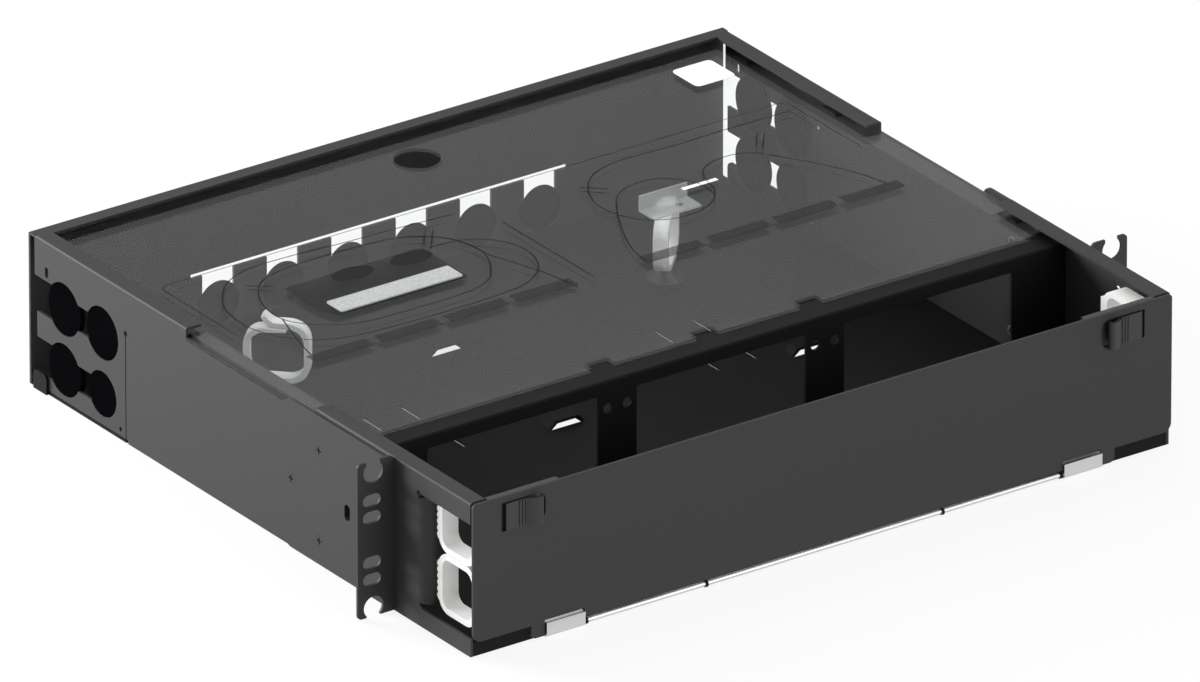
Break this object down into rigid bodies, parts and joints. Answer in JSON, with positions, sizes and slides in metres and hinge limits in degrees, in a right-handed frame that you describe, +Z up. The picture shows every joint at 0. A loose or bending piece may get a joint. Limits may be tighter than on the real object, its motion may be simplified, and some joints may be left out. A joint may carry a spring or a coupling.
{
  "type": "rack fibre patch panel",
  "caption": "Two-unit rack fibre patch panel: open black steel chassis with fold-down latched door, sliding clear cover, cable rings and plugged ports.",
  "frame": {"origin": "under the middle of the overall box, on the surface that the panel rests on", "axes": "+Z up, -Y towards the front door, +X to the right seen from the front, across the rack"},
  "size_m": [0.4826, 0.4052, 0.0874],
  "materials": {
    "black_powder_coat": "fine-texture black powder coat on steel sheet",
    "black_plastic": "moulded black ABS",
    "black_rubber": "moulded black rubber",
    "white_nylon": "moulded natural white nylon",
    "clear_polycarbonate": "clear polished sheet",
    "zinc_steel": "bright zinc-plated steel",
    "black_steel": "black oxide steel",
    "white_label": "blank white film label",
    "grey_label": "speckled light grey plate",
    "grey_plastic": "translucent grey moulded plastic"
  },
  "bodies": {
    "chassis": {"chassis_floor": "black_powder_coat", "side_wall_left": "black_powder_coat", "side_wall_right": "black_powder_coat", "rear_wall_lower": "black_powder_coat", "rear_wall_upper": "black_powder_coat", "bulkhead": "black_powder_coat", "rack_bracket_left": "black_powder_coat", "rack_bracket_right": "black_powder_coat", "bracket_screws_left": "black_steel", "bracket_screws_right": "black_steel", "bracket_nuts_left": "zinc_steel", "bracket_nuts_right": "zinc_steel", "port_plugs_left": "black_rubber", "port_plugs_right": "black_rubber", "rear_port_plugs": "black_rubber", "hinge_rod": "zinc_steel", "cable_ring_left_lower": "white_nylon", "cable_ring_left_upper": "white_nylon", "cable_ring_right_lower": "white_nylon", "cable_ring_right_upper": "white_nylon", "fibre_ring_left": "white_nylon", "fibre_ring_right": "white_nylon"},
    "door": {"front_door": "black_powder_coat", "hinge_clip_left": "zinc_steel", "hinge_clip_right": "zinc_steel", "latch_housing_left": "black_plastic", "latch_housing_right": "black_plastic"},
    "cover": {"top_cover": "clear_polycarbonate", "cover_label": "white_label", "cover_strip": "grey_label", "cover_bracket": "grey_plastic"},
    "latch_left": {"latch_slide_left": "black_plastic"},
    "latch_right": {"latch_slide_right": "black_plastic"}
  },
  "joints": [
    {"name": "door_hinge", "type": "hinge", "parent": "chassis", "child": "door", "pos_m": [0, -0.1969, 0.0022], "axis": [1, 0, 0], "range_deg": [0, 90]},
    {"name": "cover_slide", "type": "slide", "parent": "chassis", "child": "cover", "axis": [0, -1, 0], "range_m": [0, 0.085]},
    {"name": "latch_left_slide", "type": "slide", "parent": "door", "child": "latch_left", "axis": [1, 0, 0], "range_m": [0, 0.006], "stiffness_N_per_m": 200, "springref_m": -0.002},
    {"name": "latch_right_slide", "type": "slide", "parent": "door", "child": "latch_right", "axis": [-1, 0, 0], "range_m": [0, 0.006], "stiffness_N_per_m": 200, "springref_m": -0.002}
  ]
}
